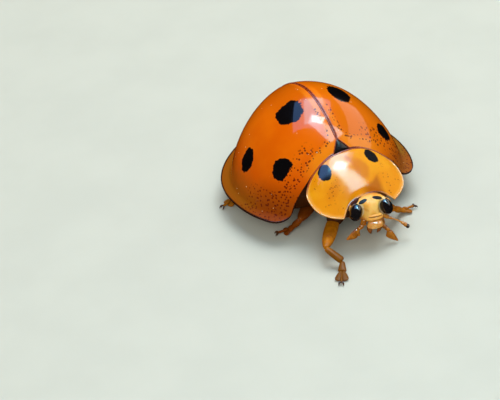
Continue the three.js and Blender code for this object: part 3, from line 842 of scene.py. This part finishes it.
def head_finish():
    finish = Finish("face_cuticle", Coat_Weight=0.1, Coat_Roughness=0.2, Specular_IOR_Level=0.12,
                    Subsurface_Weight=0.2, Subsurface_Scale=0.2 * MM)
    at = finish.place()
    into = HEAD.inverted()
    turned = finish.node("ShaderNodeMapping", None, {
        "Vector": at, "Location": into.translation, "Rotation": into.to_euler()})
    x, y, z = finish.split(turned)
    cloud = finish.noise(at, 2.2)
    fine = finish.noise(at, 7.0)
    finish.tint(cloud.ramp(0.3, 0.7), (255, 206, 116), (250, 180, 74))
    finish.paint(z.ramp(-0.15, -0.5) * 0.8, 222, 138, 50)
    cheek = finish.patch(finish.vector(abs(x), y, z), (0.62, -0.2, -0.5), (0.2, 0.4, 0.24))
    finish.paint(cheek.ramp(1.2, 0.5) * 0.7, 164, 88, 24)
    rim = finish.patch(finish.vector(abs(x + EYE_SHIFT), y * 0, z), (EYE_X, 0, 0), (0.4, 1, 0.52),
                       tilt=-EYE_LEAN)
    finish.paint(rim.ramp(1.12, 1.02) * y.ramp(0.2, 0.0), 250, 222, 172)
    finish.paint(y.ramp(0.15, 0.5) * 0.7, 196, 116, 34)
    dots = finish.patch(finish.vector(abs(x + 0.09), y * 0, z), (0.34, 0, 0.15), (0.12, 1, 0.09))
    finish.paint(dots.ramp(1.4, 0.4) * y.ramp(0.1, -0.1) * 0.6, 228, 146, 40)
    for level in FOLDS:
        line = abs(z - level).ramp(0.045, 0.015) * abs(x).ramp(0.44, 0.32) * y.ramp(-0.25, -0.4)
        finish.paint(line * 0.8, 120, 62, 20)
    marks = finish.nearest_patch(turned, CROWN_MARKS, finish.ragged(at, 6.0, 0.3))
    dark = finish.mix(y.ramp(0.15, 0.3), tone(20, 15, 14), tone(58, 14, 6))
    finish.paint(marks.ramp(1.06, 0.94), dark)
    pits = finish.cells(at, 10.0).ramp(0.0, 0.3)
    normal = finish.bump(fine * 0.5 + pits * 0.5, 0.35, 0.02)
    return finish.give(Roughness=fine * 0.15 + 0.34, Normal=normal)


face_cuticle = head_finish()
head = round_body(capsule_point, 200, 150)
settle(head, "head_capsule", face_cuticle, ["head"], HEAD, crease=60)

# ---- Eyes ----
# Two glossy black ovals at the sides of the head, each a close mosaic of tiny lenses.


def eye_finish():
    finish = Finish("eye_lens", Coat_Weight=1.0, Coat_Roughness=0.06, Specular_IOR_Level=0.15)
    at = finish.place()
    lenses = finish.cells(at, 22.0)
    finish.tint(lenses.ramp(0.2, 0.6), (10, 10, 14), (26, 22, 24))
    normal = finish.bump(lenses, 0.12, 0.01)
    return finish.give(Roughness=lenses * 0.1 + 0.12, Normal=normal)


eye_lens = eye_finish()
for name, side in (("left", 1), ("right", -1)):
    socket = HEAD @ Matrix.Translation((side * EYE_X - EYE_SHIFT, -0.03, 0))
    leaning = Matrix.Rotation(-side * EYE_LEAN, 4, "Y") @ Matrix.Rotation(-EYE_TIP, 4, "X")
    settle(ball(48, 32, EYE_RADII), f"eyeball_{name}", eye_lens, [f"eye_{name}"],
           socket @ leaning)

# ---- Clypeus and upper lip ----
# The plate under the forehead, with two folds across it, and below it the smooth glossy upper lip
# that hangs over the jaws.
CLYPEUS_AT = Vector((0.0, -0.38, -0.32))
CLYPEUS_RADII = Vector((0.48, 0.24, 0.25))
LABRUM_AT = Vector((0.02, -0.45, -0.72))
LABRUM_RADII = Vector((0.45, 0.3, 0.27))


def clypeus_point(x, y, up):
    square = math.copysign(abs(up) ** 0.8, up)
    height = square * CLYPEUS_RADII.z + CLYPEUS_AT.z
    fold = sum(0.25 * math.exp(-((height - line) / 0.035) ** 2) for line in FOLDS)
    deep = y * (1 - fold * (1 - abs(x)))
    at = Vector((x * CLYPEUS_RADII.x, deep * CLYPEUS_RADII.y, square * CLYPEUS_RADII.z))
    return at + CLYPEUS_AT


def labrum_point(x, y, up):
    lobe = 1 + 0.12 * math.sin(math.pi * min(1, max(0, -up))) * abs(x)
    dent = 0.1 * math.exp(-(x / 0.25) ** 2) * max(0, -up)
    at = Vector((x * LABRUM_RADII.x * lobe, y * LABRUM_RADII.y, (up + dent) * LABRUM_RADII.z))
    return at + LABRUM_AT


lip_cuticle = two_toned(
    "lip_cuticle", 4.0, (244, 184, 104), (228, 154, 70), (0.15, 0.15), (14.0, 0.15, 0.02),
    Coat_Weight=1.0, Coat_Roughness=0.05, Coat_IOR=1.8, Subsurface_Weight=0.2,
    Subsurface_Scale=0.2 * MM)
settle(round_body(clypeus_point, 64, 48), "face_plate", face_cuticle, ["clypeus"], HEAD)
settle(round_body(labrum_point, 64, 40), "upper_lip", lip_cuticle, ["labrum"], HEAD)

# ---- Mouth ----
# Two small hooked jaws with the two short feelers of the lower lip under them, and at each side a
# jaw feeler: a jointed stalk with a flat, axe-shaped last joint.


def segment(start, end, stations, across=None, sides=16, skew=0.0):
    """A tapering joint from start to end: stations are (share of its length, width, height)."""
    along = end - start
    side = (across or Vector((0, 0, 1)).cross(along)).normalized()
    side = (side - along.normalized() * side.dot(along.normalized())).normalized()
    lift = along.normalized().cross(side)
    share, width, height = stations[0]
    at = share * along.length
    bpy.ops.mesh.primitive_circle_add(vertices=sides, radius=0.5, fill_type="NGON",
                                      location=(0, 0, at))
    piece = bpy.context.object
    bpy.ops.object.transform_apply(location=True)
    bpy.ops.object.mode_set(mode="EDIT")
    bpy.ops.transform.resize(value=(width, height, 1), center_override=(0, 0, at))
    for share, wide, high in stations[1:]:
        step = share * along.length - at
        at += step
        bpy.ops.mesh.extrude_region_move(TRANSFORM_OT_translate={"value": (0, 0, step)})
        bpy.ops.transform.resize(value=(wide / width, high / height, 1),
                                 center_override=(0, 0, at))
        width, height = wide, high
    bpy.ops.object.mode_set(mode="OBJECT")
    for vertex in piece.data.vertices:
        vertex.co.z += skew * vertex.co.x * vertex.co.z / along.length
    frame_of = Matrix((side, lift, along.normalized())).transposed().to_4x4()
    piece.matrix_world = Matrix.Translation(start) @ frame_of
    bpy.ops.object.transform_apply(location=True, rotation=True, scale=True)
    edit(bpy.ops.mesh.normals_make_consistent, inside=False)
    return modified(piece, "SUBSURF", levels=2, render_levels=2)


def point(*values):
    return Vector(values)


feeler_cuticle = two_toned(
    "feeler_cuticle", 5.0, (190, 118, 28), (150, 84, 12), (0.15, 0.18), (20.0, 0.3, 0.015),
    Coat_Weight=0.6, Coat_Roughness=0.08, Subsurface_Weight=0.15, Subsurface_Scale=0.15 * MM)
jaw_cuticle = two_toned("jaw_cuticle", 5.0, (158, 88, 22), (104, 50, 12), (0.15, 0.25),
                        Coat_Weight=0.5, Coat_Roughness=0.12)
JOINT = ((0, 0.7, 0.7), (0.12, 0.95, 0.95), (0.5, 0.9, 0.9), (0.85, 1.08, 1.08),
         (1, 0.75, 0.75))
BLADE = ((0, 0.22, 0.2), (0.1, 0.32, 0.24), (0.5, 0.48, 0.26), (0.84, 0.58, 0.23),
         (0.97, 0.56, 0.18), (1, 0.46, 0.1))
# Each jaw feeler's joints, the direction across its blade and how slanted the blade's end is.
PALPS = {
    "left": (((0.46, -0.14, -0.62), (0.52, -0.22, -0.98), (0.66, -0.34, -1.18),
              (0.86, -0.4, -1.37), (1.03, -0.47, -1.92)), (0.44, -0.2, -0.22), 0.85),
    "right": (((-0.5, -0.14, -0.5), (-0.62, -0.25, -0.78), (-0.8, -0.33, -0.84),
               (-0.95, -0.38, -0.87), (-1.38, -0.45, -1.35)), (-0.6, -0.1, 0.3), 0.7),
}


def sized(stations, width):
    return [(share, wide * width, high * width) for share, wide, high in stations]


def chain(points, widths):
    pairs = zip(points, points[1:], widths)
    return [segment(a, b, sized(JOINT, width), sides=12) for a, b, width in pairs]


for name, (bends, across, skew) in PALPS.items():
    points = [Vector(bend) for bend in bends]
    peg = [points[3] + point(0.03, 0, -0.06), points[3] + point(0.05, -0.02, -0.42)]
    stalk = joined("stalk", chain(points[:4], (0.36, 0.25, 0.22)) + chain(peg, (0.14,)))
    settle(stalk, f"palp_stem_{name}", feeler_cuticle, [f"palp_stalk_{name}"], HEAD)
    blade = segment(points[3], points[4], BLADE, Vector(across), skew=skew)
    settle(blade, f"palp_axe_{name}", feeler_cuticle, [f"palp_blade_{name}"], HEAD)

mouth_parts = []
for side in (1, -1):
    jaw = [point(side * 0.28, -0.36, -0.84), point(side * 0.28 - 0.02, -0.44, -0.99),
           point(side * 0.24 - 0.04, -0.49, -1.13), point(side * 0.17 - 0.07, -0.5, -1.26)]
    mouth_parts.append(strand(jaw, (0.16, 0.15, 0.1, 0.01), roundness=4))
    mouth_parts[-1].data.materials.append(jaw_cuticle)
    lobe = [point(side * 0.15, -0.3, -0.8), point(side * 0.18, -0.38, -0.98),
            point(side * 0.2, -0.44, -1.1), point(side * 0.22, -0.47, -1.18)]
    for joint in chain(lobe, (0.2, 0.12, 0.09)):
        joint.data.materials.append(feeler_cuticle)
        mouth_parts.append(joint)
settle(joined("mouth", mouth_parts), "mouth", None, ["labium"], HEAD)

# ---- Antennae ----
# Eleven short joints each: a thick root, a thin whip and a three-jointed club with a dark tip. The
# left one is held out and the right one is folded back along the cheek.


def antenna_finish():
    finish = Finish("antenna_cuticle", Coat_Weight=0.4, Coat_Roughness=0.15)
    reach, _, _ = finish.chart("reach")
    grain = finish.noise(finish.place(), 6.0)
    finish.tint(grain.ramp(0.3, 0.7), (206, 140, 44), (176, 104, 20))
    finish.paint(reach.ramp(0.86, 0.97), 52, 30, 14)
    return finish.give(Roughness=grain * 0.15 + 0.25)


antenna_cuticle = antenna_finish()
ANTENNAE = {
    "left": ((0.54, -0.2, -0.42), (1.03, -0.3, -0.69), (1.2, -0.32, -0.77),
             (1.4, -0.35, -0.89), (1.58, -0.38, -1.03), (1.98, -0.46, -1.36)),
    "right": ((-0.88, 0.02, -0.46), (-1.04, 0.24, -0.54), (-1.04, 0.38, -0.6),
              (-1.0, 0.5, -0.68), (-0.92, 0.62, -0.74), (-0.82, 0.8, -0.8)),
}
CLUB = ((0, 0.6, 0.5), (0.15, 0.85, 0.7), (0.8, 1.05, 0.85), (1, 0.7, 0.6))
for name, bends in ANTENNAE.items():
    root, bend, first, halfway, neck, tip = map(Vector, bends)
    scape = joined("root", chain((root, root.lerp(bend, 0.65), bend), (0.25, 0.17)))
    stops = [bend, bend.lerp(first, 0.5), first, first.lerp(halfway, 0.5), halfway,
             halfway.lerp(neck, 0.5), neck]
    whip = joined("whip", chain(stops, (0.1, 0.08, 0.08, 0.085, 0.1, 0.12)))
    clubs = []
    for i, width in enumerate((0.22, 0.29, 0.3)):
        ends = neck.lerp(tip, i / 3), neck.lerp(tip, (i + 1) / 3)
        club = segment(*ends, sized(CLUB, width), sides=12)
        clubs.append(charted(club, "reach", lambda _: ((i + 1) / 3, 0)))
    for piece in (scape, whip):
        charted(piece, "reach", lambda _: (0, 0))
    for piece, part, node in ((scape, "root", "antenna_scape"), (whip, "whip", "antenna"),
                              (joined("knob", clubs), "knob", "antenna_club")):
        settle(piece, f"antenna_{part}_{name}", antenna_cuticle,
               [f"{node}_{name}"], HEAD)

# ---- Legs ----
# Each leg is a swollen thigh, a slender shin that widens to its end, a first foot joint, a broad
# two-lobed second one, and a thin last joint with a pair of toothed claws.

# Each leg's knee, ankle and toe; the toe's height is the same for all.
LEGS = {
    "front_left": ((1.85, -5.6, 1.05), (2.4, -5.0, 0.42), (3.05, -4.9)),
    "front_right": ((-3.06, -6.52, 1.0), (-2.55, -7.36, 0.45), (-3.15, -8.27)),
    "middle_left": ((2.9, -1.7, 0.72), (3.5, -1.3, 0.42), (4.2, -1.05)),
    "middle_right": ((-2.9, -3.4, 0.98), (-3.0, -2.92, 0.42), (-3.55, -2.78)),
    "hind_left": ((3.3, 2.0, 0.75), (4.1, 2.08, 0.42), (4.8, 2.24)),
    "hind_right": ((-3.3, 1.9, 0.75), (-4.1, 1.73, 0.42), (-4.85, 1.5)),
}
THIGH = ((-0.12, 0.5, 0.44), (0, 0.7, 0.55), (0.2, 0.78, 0.6), (0.5, 0.78, 0.58),
         (0.72, 0.66, 0.5), (0.87, 0.48, 0.42), (0.96, 0.32, 0.32), (1, 0.2, 0.2))
SHIN = ((0, 0.22, 0.22), (0.06, 0.34, 0.32), (0.25, 0.39, 0.35), (0.65, 0.45, 0.38),
        (0.92, 0.46, 0.38), (1, 0.36, 0.3))
FIRST = ((0, 0.2, 0.2), (0.12, 0.28, 0.26), (0.6, 0.4, 0.28), (0.95, 0.5, 0.22),
         (1, 0.42, 0.14))
LAST = ((0, 0.1, 0.1), (0.3, 0.12, 0.12), (0.85, 0.17, 0.16), (1, 0.12, 0.12))
LOBE = ((0, 0.16, 0.14), (0.2, 0.26, 0.16), (0.6, 0.4, 0.16), (0.9, 0.38, 0.13), (1, 0.24, 0.08))
TOE_HEIGHT = 0.2
FOOT_SHARES = (0.04, 0.56, 1.14)
# Points and radii of a claw and its tooth: forward of the toe, to its side, and height.
HOOK = ((0.38, 0.04, 0.17), (0.44, 0.09, 0.2), (0.51, 0.12, 0.17), (0.56, 0.13, 0.1),
        (0.57, 0.13, 0.03))
HOOK_RADII = (0.05, 0.045, 0.036, 0.022, 0.006)
TOOTH = ((0.45, 0.09, 0.18), (0.48, 0.1, 0.1), (0.49, 0.1, 0.05))
TOOTH_RADII = (0.045, 0.03, 0.006)


def leg_finish():
    finish = Finish("leg_cuticle", Specular_IOR_Level=0.12, Subsurface_Weight=0.1,
                    Subsurface_Scale=0.2 * MM)
    at = finish.place()
    x, y, z = finish.split(at)
    grain = finish.noise(at, 4.0)
    finish.tint(grain.ramp(0.3, 0.75), (196, 120, 12), (166, 96, 6))
    finish.paint(z.ramp(0.45, 0.15) * 0.8, 160, 100, 22)
    # Painted shade: the lower shin and foot of the front right leg, which reach out in front, are
    # darker.
    finish.paint(y.ramp(-6.3, -7.0) * 0.8, 104, 62, 2)
    # Painted shade: both middle legs are darker, as if in the shadow of the body.
    middle = y.ramp(-4.2, -3.8) * y.ramp(0.2, -0.4)
    finish.paint(middle * 0.85, 110, 44, 6)
    hair = finish.noise(at, 18.0)
    normal = finish.bump(hair, 0.3, 0.02)
    return finish.give(Roughness=grain * 0.2 + 0.32, Normal=normal)


leg_cuticle = leg_finish()
claw_cuticle = two_toned("claw_cuticle", 8.0, (92, 52, 16), (58, 30, 10), (0.15, 0.25),
                         Coat_Weight=0.4, Coat_Roughness=0.15)
for name, (knee, ankle, toe) in LEGS.items():
    hip, knee, ankle = map(Vector, (HIPS[name], knee, ankle))
    toe = point(*toe, TOE_HEIGHT)
    out = point(toe.x - ankle.x, toe.y - ankle.y, 0).normalized()
    aside = point(-out.y, out.x, 0)
    settle(segment(hip, knee, THIGH), f"thigh_{name}", leg_cuticle, [f"femur_{name}"])
    settle(segment(knee, ankle, SHIN), f"shin_{name}", leg_cuticle, [f"tibia_{name}"])

    along = [ankle.lerp(toe, share) for share in FOOT_SHARES]
    along[1].z, along[2].z = TOE_HEIGHT, 0.08
    foot = [segment(along[0], along[1], FIRST)]
    for side in (1, -1):
        root = along[1] - out * 0.04 + aside * side * 0.05
        end = along[2] + aside * side * 0.22
        foot.append(segment(root, end, LOBE, aside, sides=12))
    last_root, last_end = along[1].lerp(along[2], 0.25) + point(0, 0, 0.08), toe + out * 0.42
    last_end.z = 0.16
    foot.append(segment(last_root, last_end, LAST, sides=12))
    settle(joined("toes", foot), f"toes_{name}", leg_cuticle, [f"foot_{name}"])

    claws = []
    for side in (1, -1):
        for row, radii in ((HOOK, HOOK_RADII), (TOOTH, TOOTH_RADII)):
            curve = [toe + out * forward + aside * side * spread + point(0, 0, height - toe.z)
                     for forward, spread, height in row]
            claws.append(strand(curve, radii, roundness=3))
    settle(joined("hooks", claws), f"hooks_{name}", claw_cuticle, [f"claws_{name}"])

# ---- Floor, light and camera ----
# A plain pale table in soft light. Two panels light the insect, and five more, overhead and at
# its left, show only as the sheen on its cuticle.
bpy.ops.mesh.primitive_circle_add(vertices=96, radius=2, fill_type="NGON")
floor = bpy.context.object
floor.name = "floor"
table_top = Finish("table_top", Roughness=0.7)
grain = table_top.noise(table_top.node("ShaderNodeTexCoord", output="Object"), 200.0)
table_top.tint(grain.ramp(0.3, 0.7), (206, 209, 199), (202, 205, 195))
floor.data.materials.append(table_top.give())
floor.visible_glossy = False

CAMERA_PIVOT = ORIGIN + Vector((0, 0, 2.3)) * MM
CAMERA_TURN = -26.703
CAMERA_RISE = 33.006
CAMERA_ROLL = math.radians(5.203)
CAMERA_DISTANCE = 110 * MM
FOCAL = 17.855 * 110
FRAME_WIDTH, FRAME_HEIGHT = 500, 400
PIVOT_PIXEL = (313.43, 155.03)


def towards(turn, rise):
    """Direction from the insect, in degrees of turn from straight ahead and rise from level."""
    turn, rise = math.radians(turn), math.radians(rise)
    return Vector((math.sin(turn) * math.cos(rise), -math.cos(turn) * math.cos(rise),
                   math.sin(rise)))


# Each panel's middle and size in millimetres, its brightness and colour, and its turn about the
# vertical where it looks straight down, or None where it faces the insect.
PANELS = {
    "sky_panel": ((10, 17.5, 150), (158, 135), 4.5, (0.22, 0.45, 1.0), -32),
    "cloud_panel": ((28, 10, 148), (72, 108), 8.0, (0.2, 0.8, 1.0), -22),
    "glow_panel": ((44, -74, 146), (130, 36), 13.0, (0.35, 0.8, 1.0), -55),
    "core_panel": ((35, -38, 144), (46, 24), 26.0, (1.0, 0.98, 1.0), -35),
    "side_panel": (towards(77, 32) * 150, (200, 70), 2.4, (1.0, 0.92, 0.86), None),
    "key_panel": (towards(130, 66) * 220, (150, 150), 5.5, (1.0, 0.97, 0.92), None),
    "fill_panel": (towards(-35, 35) * 240, (200, 120), 3.6, (1.0, 0.97, 0.92), None),
}
LIGHTING = ("key_panel", "fill_panel")
for name, (at, size, glow, colour, turn) in PANELS.items():
    light = bpy.data.lights.new(name, "AREA")
    light.shape = "RECTANGLE"
    light.size, light.size_y = (value * MM for value in size)
    light.energy = glow * math.pi * size[0] * size[1] * MM * MM
    light.color = colour
    lamp = bpy.data.objects.new(name, light)
    bpy.context.collection.objects.link(lamp)
    lamp.location = ORIGIN + Vector(at) * MM
    if turn is None:
        lamp.rotation_euler = Vector(at).to_track_quat("Z", "Y").to_euler()
    else:
        lamp.rotation_euler = (0, 0, math.radians(turn))
    lamp.visible_glossy = name not in LIGHTING
    lamp.visible_diffuse = name in LIGHTING

ROOM_COLOUR = tone(236, 240, 226)
ROOM_LIGHT = 0.35
world = bpy.data.worlds.new("studio")
world.use_nodes = True
room = world.node_tree.nodes["Background"].inputs
room["Color"].default_value, room["Strength"].default_value = ROOM_COLOUR, ROOM_LIGHT
world.cycles_visibility.glossy = False
bpy.context.scene.world = world
bpy.context.scene.view_settings.view_transform = "Standard"

back = towards(CAMERA_TURN, CAMERA_RISE)
level = towards(CAMERA_TURN + 90, 0)
upright = back.cross(level)
right = level * math.cos(CAMERA_ROLL) - upright * math.sin(CAMERA_ROLL)
top = level * math.sin(CAMERA_ROLL) + upright * math.cos(CAMERA_ROLL)
aim = (PIVOT_PIXEL[0] - FRAME_WIDTH / 2, FRAME_HEIGHT / 2 - PIVOT_PIXEL[1])
aimed_back = (back * FOCAL + right * aim[0] + top * aim[1]).normalized()
aimed_right = (right - aimed_back * right.dot(aimed_back)).normalized()
aimed_top = aimed_back.cross(aimed_right)
view = bpy.data.cameras.new("camera")
view.lens = FOCAL * view.sensor_width / FRAME_WIDTH
view.clip_start = 5 * MM
camera = bpy.data.objects.new("camera", view)
bpy.context.collection.objects.link(camera)
turned = Matrix((aimed_right, aimed_top, aimed_back)).transposed().to_4x4()
camera.matrix_world = Matrix.Translation(CAMERA_PIVOT + back * CAMERA_DISTANCE) @ turned
bpy.context.scene.camera = camera
